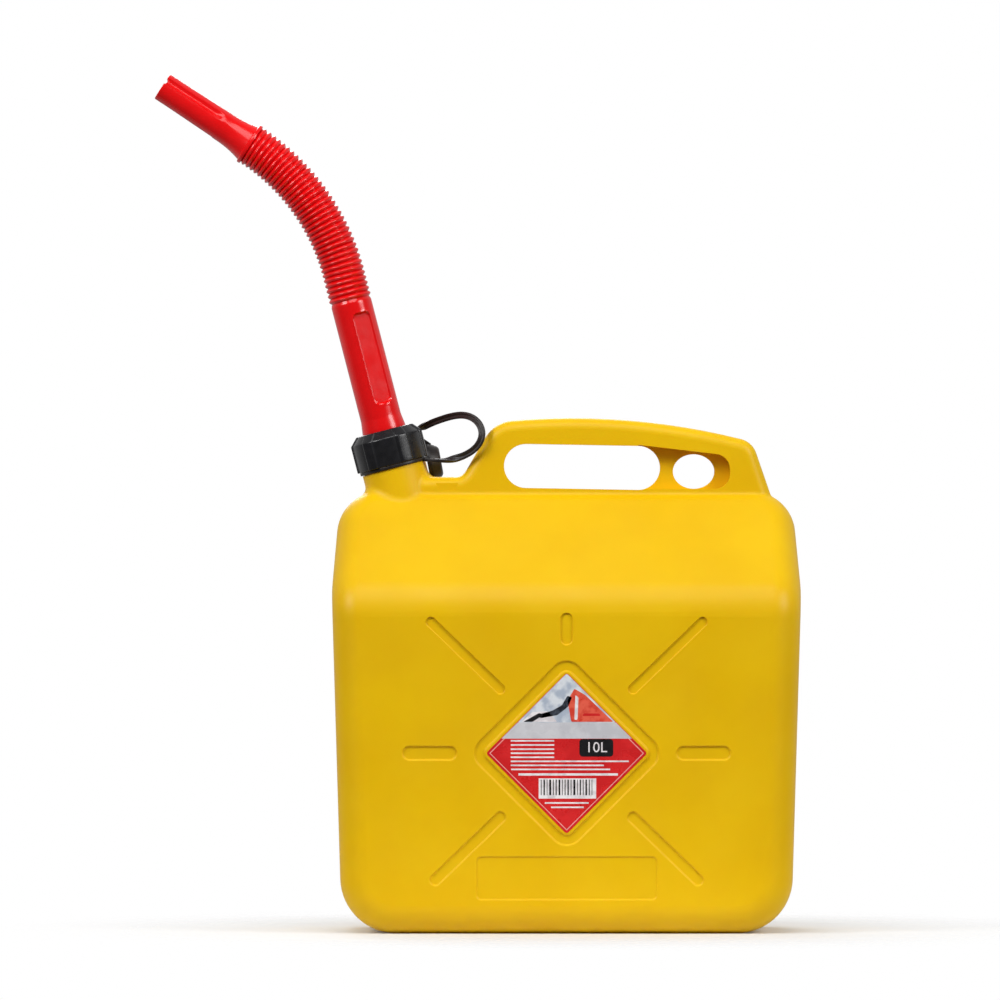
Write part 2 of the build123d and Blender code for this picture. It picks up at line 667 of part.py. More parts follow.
with BuildPart() as strap_far:
    add(strap_solid(FAR_ROUTE, FAR_RADII))
    add(closing_plug.part, mode=Mode.SUBTRACT)
strap_far.part.label = "strap_far"
export_step(strap_far.part, "parts/strap_far.step")
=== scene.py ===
# %% [markdown]
# # A 10 litre plastic fuel can
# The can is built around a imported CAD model, which fixes where every piece stands and how it moves.
# This lesson gives it its looks: the moulded surfaces, the pleated hose, the printed label and the studio.
# It starts by loading the CAD model as a fixed frame. Nothing in the frame is moved afterwards.

# %% Load the frame
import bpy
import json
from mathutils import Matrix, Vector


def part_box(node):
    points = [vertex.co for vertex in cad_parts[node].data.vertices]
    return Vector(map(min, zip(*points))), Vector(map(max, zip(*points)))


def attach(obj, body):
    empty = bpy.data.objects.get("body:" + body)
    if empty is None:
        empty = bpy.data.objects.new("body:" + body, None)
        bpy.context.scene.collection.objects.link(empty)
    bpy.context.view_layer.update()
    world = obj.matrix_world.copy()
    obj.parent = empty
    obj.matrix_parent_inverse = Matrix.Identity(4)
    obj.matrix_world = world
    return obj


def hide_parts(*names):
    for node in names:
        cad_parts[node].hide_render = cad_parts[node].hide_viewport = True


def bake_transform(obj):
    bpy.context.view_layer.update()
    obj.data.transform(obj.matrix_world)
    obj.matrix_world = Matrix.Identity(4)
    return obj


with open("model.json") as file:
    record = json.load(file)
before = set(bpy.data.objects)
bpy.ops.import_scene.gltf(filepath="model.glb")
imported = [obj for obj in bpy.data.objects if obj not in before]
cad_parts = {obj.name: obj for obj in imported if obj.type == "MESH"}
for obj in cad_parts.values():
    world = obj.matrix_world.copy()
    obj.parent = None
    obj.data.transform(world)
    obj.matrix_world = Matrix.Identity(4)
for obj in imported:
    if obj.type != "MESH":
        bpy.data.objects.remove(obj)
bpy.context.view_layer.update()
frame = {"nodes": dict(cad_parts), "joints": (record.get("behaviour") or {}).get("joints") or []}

# %% Modules and units
import json
from math import cos, degrees, exp, hypot, pi, radians, sin, tan

import bmesh
import bpy
from mathutils import Matrix, Vector

MM = 0.001
joints = {joint["name"]: joint for joint in frame["joints"]}
print("Joints:", len(joints))

# %% [markdown]
# ## Helpers for materials
# Colours are easiest to note as the hex codes that a colour picker shows, but shaders work in linear
# light, so one function turns the one into the other. A second function adds a shader node: it sets the
# node's settings, then fills its inputs with plain values or with the outputs of other nodes.

# %% Colour and node helpers
def linear(code):
    """The linear RGBA colour of an sRGB hex code."""
    parts = [int(code[place:place + 2], 16) / 255 for place in (1, 3, 5)]
    return [part / 12.92 if part <= 0.04045 else ((part + 0.055) / 1.055) ** 2.4 for part in parts] + [1]


def add(tree, kind, inputs, **settings):
    """Adds a shader node with its settings, and fills its inputs with values or other nodes' outputs."""
    made = tree.nodes.new(kind)
    for name, value in settings.items():
        setattr(made, name, value)
    for name, value in inputs.items():
        if isinstance(value, bpy.types.NodeSocket):
            tree.links.new(value, made.inputs[name])
        else:
            made.inputs[name].default_value = value
    return made


def start_material(name, **shader_values):
    """A new material, its node tree, its shader and its object coordinates in metres."""
    material = bpy.data.materials.new(name)
    material.use_nodes = True
    tree = material.node_tree
    shader = tree.nodes["Principled BSDF"]
    for socket, value in shader_values.items():
        shader.inputs[socket.replace("_", " ")].default_value = value
    place = add(tree, "ShaderNodeTexCoord", {}).outputs["Object"]
    return material, tree, shader, place


def tint(tree, place, size, low, high, first, second):
    """A colour that drifts from first to second in patches of about size millimetres."""
    drift = add(tree, "ShaderNodeTexNoise", {"Vector": place, "Scale": 1 / (size * MM), "Detail": 3.0})
    share = add(
        tree, "ShaderNodeMapRange", {"Value": drift.outputs["Fac"], "From Min": low, "From Max": high}
    )
    blend = add(tree, "ShaderNodeMix", {0: share.outputs["Result"], 6: first, 7: second}, data_type="RGBA")
    return blend.outputs[2]


def rough(tree, place, size, least, most):
    """A roughness that wanders between least and most in patches of about size millimetres."""
    drift = add(tree, "ShaderNodeTexNoise", {"Vector": place, "Scale": 1 / (size * MM), "Detail": 4.0})
    spread = {
        "Value": drift.outputs["Fac"], "From Min": 0.3, "From Max": 0.7, "To Min": least, "To Max": most,
    }
    return add(tree, "ShaderNodeMapRange", spread).outputs["Result"]


def grain(tree, place, size, depth, strength):
    """A bump of fine grain, size and depth in millimetres."""
    noise = add(tree, "ShaderNodeTexNoise", {"Vector": place, "Scale": 1 / (size * MM), "Detail": 2.0})
    bump = {"Height": noise.outputs["Fac"], "Distance": depth * MM, "Strength": strength}
    return add(tree, "ShaderNodeBump", bump)


# %% [markdown]
# ## Yellow polyethylene for the can
# The can is blow-moulded high-density polyethylene. A tube of soft plastic is blown out against a
# sand-blasted mould, which leaves a faint even grain and a waxy sheen between satin and gloss. The plastic
# lets a little light in, so its shaded hollows glow orange instead of going grey: that is subsurface
# scattering of a few millimetres.

# %% Blow-moulded polyethylene
def blow_moulded_polyethylene():
    """Yellow, waxy, finely grained."""
    material, tree, shader, place = start_material(
        "blow_moulded_polyethylene", IOR=1.5, Specular_IOR_Level=0.22, Subsurface_Weight=0.12,
        Subsurface_Scale=4 * MM,
    )
    shader.inputs["Subsurface Radius"].default_value = (1.0, 0.45, 0.05)
    colour = tint(tree, place, 60, 0.35, 0.65, linear("#E5B500"), linear("#EABC03"))
    tree.links.new(colour, shader.inputs["Base Color"])
    tree.links.new(rough(tree, place, 35, 0.36, 0.46), shader.inputs["Roughness"])
    # The mould's grit is about 0.3 mm, which is too fine to show, so it is drawn at 1.1 mm and shallow
    fine = grain(tree, place, 1.1, 0.05, 0.35)
    # A blown wall is never quite flat: it waves by a tenth of a millimetre or so over its length
    waves = grain(tree, place, 55, 0.9, 0.25)
    tree.links.new(waves.outputs["Normal"], fine.inputs["Normal"])
    tree.links.new(fine.outputs["Normal"], shader.inputs["Normal"])
    return material


can_plastic = blow_moulded_polyethylene()
print("Material:", can_plastic.name)

# %% [markdown]
# ## Red polyethylene for the spout
# The spout is soft low-density polyethylene, moulded in a polished tool. It is glossier than the can, with
# small clear highlights that the colour turns pink, and a slight unevenness where the plastic flowed.

# %% Polished red polyethylene
def polished_polyethylene():
    """Red, glossy, slightly uneven."""
    material, tree, shader, place = start_material(
        "polished_red_polyethylene", IOR=1.5, Subsurface_Weight=0.08, Subsurface_Scale=2 * MM
    )
    shader.inputs["Subsurface Radius"].default_value = (1.0, 0.1, 0.1)
    colour = tint(tree, place, 25, 0.35, 0.65, linear("#DC0508"), linear("#E60A0E"))
    tree.links.new(colour, shader.inputs["Base Color"])
    tree.links.new(rough(tree, place, 12, 0.15, 0.24), shader.inputs["Roughness"])
    flow = grain(tree, place, 7, 0.12, 0.4)
    tree.links.new(flow.outputs["Normal"], shader.inputs["Normal"])
    return material


spout_plastic = polished_polyethylene()
print("Material:", spout_plastic.name)

# %% [markdown]
# ## Three blacks
# The collar is polypropylene: hard, nearly black and rather glossy. The retainer is a softer polyethylene
# with a brown cast and a satin skin, and handling has left fine scuffs on it. The gasket is nitrile
# rubber, dull and a little dusty. One function makes all three from their own numbers.

# %% Black plastics and rubber
def black_plastic(name, dark, light, least, most, grit, depth):
    """A dark plastic or rubber between two near-blacks, with grit and depth in millimetres."""
    material, tree, shader, place = start_material(name, IOR=1.49)
    tree.links.new(tint(tree, place, 9, 0.4, 0.7, linear(dark), linear(light)), shader.inputs["Base Color"])
    tree.links.new(rough(tree, place, 5, least, most), shader.inputs["Roughness"])
    tree.links.new(grain(tree, place, grit, depth, 0.4).outputs["Normal"], shader.inputs["Normal"])
    return material


collar_plastic = black_plastic("moulded_polypropylene", "#121215", "#19191D", 0.22, 0.34, 1.5, 0.04)
retainer_plastic = black_plastic("soft_moulded_polyethylene", "#171110", "#241A17", 0.34, 0.5, 0.9, 0.05)
gasket_rubber = black_plastic("nitrile_rubber", "#161616", "#242424", 0.6, 0.75, 0.6, 0.04)
print("Materials:", collar_plastic.name, retainer_plastic.name, gasket_rubber.name)

# %% [markdown]
# ## Helpers for moulded pieces
# Most pieces here were turned or moulded round an axis. A closed outline is drawn as wire in a bmesh, in
# radius and height, and spun a full turn. Real mouldings have no knife edges, so a helper first rounds the
# corners of the outline. Another one cuts long straight stretches into short ones, so that the shape can
# be pressed in afterwards, as a mould does.

# %% Outlines
def rounded(points, radius, steps=4):
    """A closed outline with each corner rounded, by less where its sides are short."""
    result = []
    for place, corner in enumerate(points):
        before, after = Vector(points[place - 1]), Vector(points[(place + 1) % len(points)])
        corner = Vector(corner)
        reach = [min(radius, 0.45 * (end - corner).length) for end in (before, after)]
        start = corner + (before - corner).normalized() * reach[0]
        end = corner + (after - corner).normalized() * reach[1]
        for step in range(steps + 1):
            share = step / steps
            result.append(start.lerp(corner, share).lerp(corner.lerp(end, share), share))
    return result


def divided(points, longest):
    """A closed outline with every stretch cut to at most longest."""
    result = []
    for place, start in enumerate(points):
        end = Vector(points[(place + 1) % len(points)])
        start = Vector(start)
        parts = max(1, round((end - start).length / longest + 0.499))
        result += [start.lerp(end, part / parts) for part in range(parts)]
    return result


# %% Spinning, placing and finishing
def spun(points, steps):
    """A bmesh in millimetres: a closed outline of (radius, height) points, spun round Z in equal steps."""
    shape = bmesh.new()
    corners = [shape.verts.new((point[0], 0, point[1])) for point in points]
    sides = [shape.edges.new((corners[place - 1], corner)) for place, corner in enumerate(corners)]
    bmesh.ops.spin(
        shape, geom=corners + sides, cent=(0, 0, 0), axis=(0, 0, 1), angle=2 * pi, steps=steps,
        use_merge=True,
    )
    bmesh.ops.remove_doubles(shape, verts=shape.verts, dist=1e-4)
    bmesh.ops.recalc_face_normals(shape, faces=shape.faces)
    return shape


def finished(shape, name, place, material, crease=35):
    """Turns a bmesh in millimetres into an object: place puts it in the frame, crease keeps sharp edges."""
    bmesh.ops.transform(shape, matrix=place @ Matrix.Scale(MM, 4), verts=shape.verts)
    mesh = bpy.data.meshes.new(name)
    shape.to_mesh(mesh)
    shape.free()
    mesh.shade_smooth()
    mesh.set_sharp_from_angle(angle=radians(crease))
    mesh.materials.append(material)
    piece = bpy.data.objects.new(name, mesh)
    bpy.context.collection.objects.link(piece)
    print(name, "faces:", len(mesh.polygons))
    return piece


def axis_place(origin, up, lean_side):
    """The matrix of a piece that stands at origin along up, with its X axis leaning towards lean_side."""
    up = Vector(up).normalized()
    back = up.cross(Vector(lean_side)).normalized()
    matrix = Matrix((back.cross(up), back, up)).transposed().to_4x4()
    return Matrix.Translation(Vector(origin)) @ matrix


def smooth(share):
    """An even rise from 0 to 1."""
    share = min(1, max(0, share))
    return share * share * (3 - 2 * share)


# %% [markdown]
# ## Places along the spout
# The swivel joint gives the neck's axis, and the six hose joints give the hinges of the bending hose. The
# hose bends evenly, so its centre line is one arc that touches the straight hinge-to-hinge lines half-way
# along each. Its radius follows from the distance between two hinges and the turn at each of them.

# %% The neck's axis and the hose's arc
HOSE_LENGTHS = 6
neck = axis_place(joints["spout_swivel"]["pos_m"], joints["spout_swivel"]["axis"], (1, 0, 0))
hinges = [Vector(joints[f"hose_bend_{number}"]["pos_m"]) for number in range(1, HOSE_LENGTHS + 1)]
up = neck.to_3x3() @ Vector((0, 0, 1))
span = (hinges[1] - hinges[0]).length / MM
bend = (hinges[1] - hinges[0]).angle(up)
bend_radius = span / 2 / tan(bend / 2)
hose_start = (hinges[0] - neck.translation).length / MM - span / 2
print(f"Hose: starts {hose_start:.1f} mm up the neck, on an arc of {bend_radius:.0f} mm radius")
print(f"Each of its {HOSE_LENGTHS} hinges turns it by {degrees(bend):.2f} degrees")

# %% [markdown]
# ## The pleated hose
# A hose like this is blown in a mould with sharp grooves: each pleat has a rounded crest and a narrow
# root. It could be one mesh on many joints, but a piece here may bend across one joint only. It is made as
# six short lengths that meet at pleat roots, where no seam shows. Each length is spun straight, then its
# rings are turned one by one about the centre of the bend.

# %% Pleats
HOSE_ROOT = 12.4
PLEAT_DEPTH = 1.5
PLEAT_ROUNDNESS = 1.5
HOSE_BORE = 11.2
PLEATS = 5
PLEAT_STEPS = 8
ROUND_STEPS = 80
pleat = span / PLEATS
print(f"Pleats: {PLEATS} to a length of {span:.1f} mm, {pleat:.2f} mm each")


def pleat_points(start, count):
    """The outline of count pleats from a root at start: rounded crests and sharp roots."""
    points = []
    for step in range(count * PLEAT_STEPS + 1):
        across = 2 * (step % PLEAT_STEPS) / PLEAT_STEPS - 1
        radius = HOSE_ROOT + PLEAT_DEPTH * (1 - abs(across) ** PLEAT_ROUNDNESS)
        points.append((radius, start + step * pleat / PLEAT_STEPS))
    return points


def bent_rings(shape, radius, length, angle):
    """Bends a straight bmesh to the side of -X, ring by ring, so that its axis becomes an arc."""
    rings = {}
    for vert in shape.verts:
        rings.setdefault(round(vert.co.z, 3), []).append(vert)
    for height, ring in rings.items():
        bmesh.ops.translate(shape, vec=(0, 0, -height), verts=ring)
        turn = Matrix.Rotation(-angle * height / length, 3, "Y")
        bmesh.ops.rotate(shape, cent=(-radius, 0, 0), matrix=turn, verts=ring)


# %% Six lengths of hose
ends = [neck.translation + up * hose_start * MM]
for number in range(HOSE_LENGTHS):
    lean = neck @ Matrix.Rotation(-bend * number, 4, "Y")
    lean.translation = ends[-1]
    hose = spun([*pleat_points(0, PLEATS), (HOSE_BORE, span), (HOSE_BORE, 0)], steps=ROUND_STEPS)
    bent_rings(hose, bend_radius, span, bend)
    along = Matrix.Rotation(-bend * (number + 1), 4, "Y").to_3x3() @ Vector((0, 0, 1))
    ends.append(hinges[number] + neck.to_3x3() @ along * span / 2 * MM)
    piece = finished(hose, f"pleated_hose_{number + 1}", lean, spout_plastic, crease=50)
    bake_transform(piece)
    if number + 1 < HOSE_LENGTHS:
        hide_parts(f"hose_link_{number + 1}")

# %% [markdown]
# ## The stem
# The straight stem is the stiff part of the spout, and the first few pleats stand on it. On its front is a
# long sunk panel with a thin raised lip round it. Cutting it with a boolean would leave knife edges. Here
# the stem is spun from a finely divided outline, and the panel is pressed in by moving the points inside
# its outline to a flat, with a short smooth step at the edge, which is how such a panel leaves a mould.

# %% Stem outline
FLANGE_LOW = 20.4
COLLAR_TOP = 25.5
STEM_RADIUS = 13.3
STEM_BORE = 10.8
STEM_STEP = 0.8
stem_top = hose_start - span
STEM_OUTLINE = (
    (13.3, 15.5), (15.1, 15.5), (15.1, FLANGE_LOW), (18.2, FLANGE_LOW), (18.2, 22.8), (14.3, 22.8),
    (14.3, COLLAR_TOP + 1), (STEM_RADIUS, 34), (STEM_RADIUS, stem_top - 2), (HOSE_ROOT, stem_top),
    (STEM_BORE, stem_top), (STEM_BORE, 36),
)


def nearest(points, target):
    """The number of the point that lies nearest to target."""
    return min(range(len(points)), key=lambda place: (points[place] - Vector(target)).length)


outline = divided(rounded(STEM_OUTLINE, 0.8), STEM_STEP)
outer = nearest(outline, (HOSE_ROOT, stem_top))
inner = nearest(outline, (STEM_BORE, stem_top))
stem_pleats = [*pleat_points(stem_top, PLEATS), (HOSE_BORE, hose_start), (HOSE_BORE, stem_top)]
stem = spun([*outline[:outer], *stem_pleats, *outline[inner + 1:]], steps=176)
print(f"Stem: smooth up to {stem_top:.1f} mm, then {PLEATS} pleats")

# %% The sunk panel
PANEL_MIDDLE = 72.95
PANEL_HALF_LENGTH = 30.5
PANEL_HALF_WIDTH = 6.4
PANEL_CORNER = 3.4
PANEL_STEP = 0.9
PANEL_FLOOR = 10.95
PANEL_TURN = radians(21 - 90)
WALL_MIDDLE = 11.6
LIP_WIDTH = 0.42
LIP_HEIGHT = 0.3


def outside(across, along, half_width, half_length, corner):
    """How far a point lies outside a rounded rectangle, or less than 0 inside it."""
    over = Vector((abs(across) - half_width + corner, abs(along) - half_length + corner))
    return Vector((max(over.x, 0), max(over.y, 0))).length + min(max(over), 0) - corner


facing = Matrix.Rotation(-PANEL_TURN, 3, "Z")
for vert in stem.verts:
    local = facing @ vert.co
    if local.x > 0 and hypot(local.x, local.y) > WALL_MIDDLE:
        along = local.z - PANEL_MIDDLE
        gap = outside(local.y, along, PANEL_HALF_WIDTH, PANEL_HALF_LENGTH, PANEL_CORNER)
        sunk = smooth(-gap / PANEL_STEP)
        local.x += (PANEL_FLOOR - local.x) * sunk + LIP_HEIGHT * exp(-(gap / LIP_WIDTH) ** 2) * (1 - sunk)
        vert.co = facing.transposed() @ local
stem_piece = finished(stem, "spout_stem_moulding", neck, spout_plastic)
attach(stem_piece, "spout")
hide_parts("spout_stem")

# %% [markdown]
# ## The nozzle
# A rolled ring ends the hose. After it the nozzle narrows in a hollow curve to a nearly straight tip.
# Three flutes run along it, so that air gets back into the tank past it. They are pressed in like the
# panel: a flute is a round-bottomed groove that fades out where the nozzle starts to widen.

# %% Nozzle outline
NOZZLE_END = 69.5
FLARE_START = 3
FLARE_END = 22
FLARE_STEPS = 12
FLARE_HOLLOW = 2.2
RING_RADIUS = 14
ROOT_RADIUS = 12.6
TAPER_RADIUS = 10.05
TIP_RADIUS = 9.65
NOZZLE_BORE = 6.7
TIP_ROUNDING = 0.5
CORNER_POINTS = 5
flare = []
for step in range(FLARE_STEPS + 1):
    share = step / FLARE_STEPS
    radius = TAPER_RADIUS + (ROOT_RADIUS - TAPER_RADIUS) * (1 - share) ** FLARE_HOLLOW
    flare.append((radius, FLARE_START + share * (FLARE_END - FLARE_START)))
outline = [
    (HOSE_BORE, 0), (HOSE_ROOT, 0), (RING_RADIUS, 0.5), (RING_RADIUS + 0.2, 1.5), (RING_RADIUS, 2.4),
    *flare, (TIP_RADIUS, 57), (TIP_RADIUS, NOZZLE_END), (NOZZLE_BORE, NOZZLE_END), (7.1, FLARE_END),
]
# Only the two corners of the tip, which come before the outline's last point, are rounded
tip = rounded(outline, TIP_ROUNDING)[-3 * CORNER_POINTS:-CORNER_POINTS]
nozzle = spun(divided([*outline[:-3], *tip, outline[-1]], 1.0), steps=144)
print("Nozzle:", NOZZLE_END, "mm long, tip", 2 * TIP_RADIUS, "mm across")

# %% Flutes
FLUTE_ANGLES = (300, 60, 180)
FLUTE_HALF_WIDTH = 2.5
FLUTE_DEPTH = 1.7
FLUTE_START = 23.5
FLUTE_FADE = 7
NOTCH_DEPTH = 1.3
NOTCH_LENGTH = 3
NOZZLE_WALL_MIDDLE = 8.4
for vert in nozzle.verts:
    radius = hypot(vert.co.x, vert.co.y)
    for angle in FLUTE_ANGLES:
        middle = Vector((cos(radians(angle)), sin(radians(angle)), 0))
        off = vert.co.cross(middle).z
        if vert.co.dot(middle) > 0 and abs(off) < FLUTE_HALF_WIDTH:
            fade = smooth((vert.co.z - FLUTE_START) / FLUTE_FADE)
            depth = (1 - (off / FLUTE_HALF_WIDTH) ** 2) * fade
            # Each flute also nicks the end face
            vert.co.z -= NOTCH_DEPTH * depth * smooth((vert.co.z - NOZZLE_END + NOTCH_LENGTH) / NOTCH_LENGTH)
            if radius > NOZZLE_WALL_MIDDLE:
                vert.co -= middle * FLUTE_DEPTH * depth
nozzle_place = neck @ Matrix.Rotation(-bend * HOSE_LENGTHS, 4, "Y")
nozzle_place.translation = ends[-1]
nozzle_piece = finished(nozzle, "nozzle_moulding", nozzle_place, spout_plastic)
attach(nozzle_piece, "nozzle")
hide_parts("nozzle")

# %% [markdown]
# ## The screw collar
# The collar is a thick ring with six broad grip ribs and a large rounded shoulder. It is spun from its
# section and the ribs are pressed outwards, with soft edges. Its thread is a small section spun with a
# pitch, which makes a helix inside the skirt.

# %% Collar body and ribs
COLLAR_LOW = 2.4
COLLAR_RADIUS = 22.6
COLLAR_OUTLINE = (
    (20.1, COLLAR_LOW), (COLLAR_RADIUS, COLLAR_LOW), (COLLAR_RADIUS, 20.2), (17.6, COLLAR_TOP),
    (14.7, COLLAR_TOP), (14.7, 22.9), (18.7, 22.9), (18.7, 20.2), (20.1, 20.2),
)
RIBS = 6
RIB_TURN = radians(296)
RIB_HALF_WIDTH = 3.9
RIB_EDGE = 0.8
RIB_HEIGHT = 1.1
SKIRT_INSIDE = 20.6
SHOULDER_LOW = 21
SHOULDER_INSIDE = 17
collar = spun(divided(rounded(COLLAR_OUTLINE, 0.7, steps=6), 1.2), steps=240)
for vert in collar.verts:
    radius = hypot(vert.co.x, vert.co.y)
    if radius > SKIRT_INSIDE or (vert.co.z > SHOULDER_LOW and radius > SHOULDER_INSIDE):
        for rib in range(RIBS):
            angle = RIB_TURN + rib * 2 * pi / RIBS
            middle = Vector((cos(angle), sin(angle), 0))
            off = abs(vert.co.cross(middle).z)
            if vert.co.dot(middle) > 0:
                vert.co += middle * RIB_HEIGHT * smooth((RIB_HALF_WIDTH + RIB_EDGE / 2 - off) / RIB_EDGE)
collar_piece = finished(collar, "screw_collar_moulding", neck, collar_plastic, crease=40)
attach(collar_piece, "collar")
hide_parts("screw_collar")

# %% Collar thread
THREAD_SECTION = ((20.3, 0, 8), (18.7, 0, 8.5), (18.7, 0, 9.7), (20.3, 0, 10.2))
THREAD_PITCH = 6
THREAD_TURNS = 1.6
THREAD_STEPS = 96
thread = bmesh.new()
section = [thread.verts.new(point) for point in THREAD_SECTION]
face = thread.faces.new(section)
bmesh.ops.spin(
    thread, geom=[face, *face.edges, *section], cent=(0, 0, 0), axis=(0, 0, 1), angle=2 * pi * THREAD_TURNS,
    dvec=(0, 0, THREAD_PITCH * THREAD_TURNS / THREAD_STEPS), steps=THREAD_STEPS,
)
bmesh.ops.recalc_face_normals(thread, faces=thread.faces)
thread_piece = finished(thread, "collar_thread", neck, collar_plastic)
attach(thread_piece, "collar")

# %% [markdown]
# ## Retainer: ring, strap and plug
# The retainer is one soft moulding. The ring and the plug are spun. The strap is flat, with a groove down
# the middle of each side, and it bends in a free loop and twists on its way. So its section is swept along
# a smooth curve: a cap is extruded step by step, and each step carries it to the next place on the curve.

# %% Ring and plug
RETAINER_RADIUS = 22.2
RETAINER_OUTLINE = ((20.0, 0.3), (RETAINER_RADIUS, 0.3), (RETAINER_RADIUS, 2.3), (20.0, 2.3))
ring_shape = spun(rounded(RETAINER_OUTLINE, 0.35), steps=144)
ring_piece = finished(ring_shape, "retainer_ring_moulding", neck, retainer_plastic)
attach(ring_piece, "retainer")
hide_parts("retainer_ring")

PLUG_RADIUS = 13
PLUG_HALF_LENGTH = 4.5
PLUG_LEAN = radians(10.5)
PLUG_OUTLINE = (
    (0.001, 0), (8.2, 0), (9.7, -0.9), (PLUG_RADIUS - 0.2, -6), (PLUG_RADIUS, -6.8), (PLUG_RADIUS, -9),
    (11.9, -9), (11.5, -7.6), (8.6, -7.6), (8, -9), (7.2, -9), (7, -3), (0.001, -3),
)
plug_low, plug_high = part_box("closing_plug")
plug_up = Vector((cos(PLUG_LEAN), 0, sin(PLUG_LEAN)))
plug_middle = (Vector(plug_low) + Vector(plug_high)) / 2 + plug_up * PLUG_HALF_LENGTH * MM
plug_shape = spun(rounded(PLUG_OUTLINE, 0.6), steps=120)
plug_place = axis_place(plug_middle, plug_up, (sin(PLUG_LEAN), 0, -cos(PLUG_LEAN)))
plug_piece = finished(plug_shape, "closing_plug_moulding", plug_place, retainer_plastic)
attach(plug_piece, "plug")
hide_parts("closing_plug")

# %% Strap route
# The route is measured from the ring's outermost point
rim = neck.translation / MM + Vector((RETAINER_RADIUS, 0, 0))
STRAP_ROUTE = (
    (-4.5, -6.2, 5.9), (2, -9, 5.2), (10.6, -12, 4.8), (22.3, -17, 7.2), (32.6, -20.5, 13.5),
    (36.3, -20, 23), (32.1, -15, 31.8), (22.3, -4, 36), (7.7, 8, 32), (-3, 15.5, 27.5),
    (-9.5, 23, 24), (-6, 28, 20), (1, 27, 15.5),
)
curve = bpy.data.curves.new("strap_route", "CURVE")
curve.dimensions = "3D"
spline = curve.splines.new("NURBS")
spline.points.add(len(STRAP_ROUTE) - 1)
for knot, place in zip(spline.points, STRAP_ROUTE):
    knot.co = (*(rim + Vector(place)), 1)
spline.order_u = 4
spline.use_endpoint_u = True
spline.resolution_u = 12
route_object = bpy.data.objects.new("strap_route", curve)
route_mesh = bpy.data.meshes.new_from_object(route_object)
route = [vert.co.copy() for vert in route_mesh.vertices]
bpy.data.objects.remove(route_object)
bpy.data.meshes.remove(route_mesh)
print("Strap:", round(sum((b - a).length for a, b in zip(route, route[1:]))), "mm long")

# %% Strap sweep
STRAP_HALF_WIDTH = 2.3
STRAP_HALF_THICKNESS = 1.1
GROOVE_HALF_WIDTH = 0.55
GROOVE_SLOPE = 0.2
GROOVE_DEPTH = 0.35
TWIST_START = 0.04
UNTWIST_START = 0.72
TWIST_SHARE = 0.2


def strap_section():
    """The strap's section: a flat bar with a groove down the middle of both sides."""
    half = [
        (STRAP_HALF_WIDTH, STRAP_HALF_THICKNESS), (GROOVE_HALF_WIDTH + GROOVE_SLOPE, STRAP_HALF_THICKNESS),
        (GROOVE_HALF_WIDTH, STRAP_HALF_THICKNESS - GROOVE_DEPTH),
        (-GROOVE_HALF_WIDTH, STRAP_HALF_THICKNESS - GROOVE_DEPTH),
        (-GROOVE_HALF_WIDTH - GROOVE_SLOPE, STRAP_HALF_THICKNESS), (-STRAP_HALF_WIDTH, STRAP_HALF_THICKNESS),
    ]
    return rounded(half + [(-across, -through) for across, through in half], 0.35, steps=3)


def strap_frame(place):
    """Where the section stands at a place on the route: its width turns from level to upright and back."""
    ahead = route[min(place + 1, len(route) - 1)] - route[max(place - 1, 0)]
    ahead.normalize()
    upright = ahead.cross(Vector((0, 1, 0))).normalized()
    level = (Vector((0, 1, 0)) - ahead * ahead.y).normalized()
    share = place / (len(route) - 1)
    twist = smooth((share - TWIST_START) / TWIST_SHARE) * (1 - smooth((share - UNTWIST_START) / TWIST_SHARE))
    across = level.lerp(upright, twist).normalized()
    matrix = Matrix((across, ahead.cross(across), ahead)).transposed().to_4x4()
    matrix.translation = route[place]
    return matrix


strap = bmesh.new()
cap = strap.faces.new([strap.verts.new((across, through, 0)) for across, through in strap_section()])
frames = [strap_frame(place) for place in range(len(route))]
bmesh.ops.transform(strap, matrix=frames[0], verts=cap.verts)
for before, after in zip(frames, frames[1:]):
    grown = bmesh.ops.extrude_face_region(strap, geom=[cap])["geom"]
    cap = next(item for item in grown if isinstance(item, bmesh.types.BMFace))
    bmesh.ops.transform(strap, matrix=after @ before.inverted(), verts=cap.verts)
bmesh.ops.recalc_face_normals(strap, faces=strap.faces)
strap_piece = finished(strap, "retainer_strap", Matrix(), retainer_plastic, crease=40)
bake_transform(strap_piece)
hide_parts("strap_near", "strap_far")

# %% [markdown]
# ## The label
# The label is a printed plastic film, cut to a diamond and stuck on the raised pad. Its print is built as
# thin layers of ink that stand a few hundredths of a millimetre above the film: a picture field, a grey
# band, a black capacity box, lines that stand for small print, and a bar code. All of it is generic.

# %% Printed film and inks
def printed_film(name, first, second, size):
    """A glossy laminated print between two colours, with a faint fine grain."""
    material, tree, shader, place = start_material(name, IOR=1.49, Coat_Weight=0.3, Coat_Roughness=0.15)
    colour = tint(tree, place, size, 0.4, 0.6, linear(first), linear(second))
    tree.links.new(colour, shader.inputs["Base Color"])
    tree.links.new(rough(tree, place, 10, 0.24, 0.34), shader.inputs["Roughness"])
    tree.links.new(grain(tree, place, 4, 0.02, 0.3).outputs["Normal"], shader.inputs["Normal"])
    return material


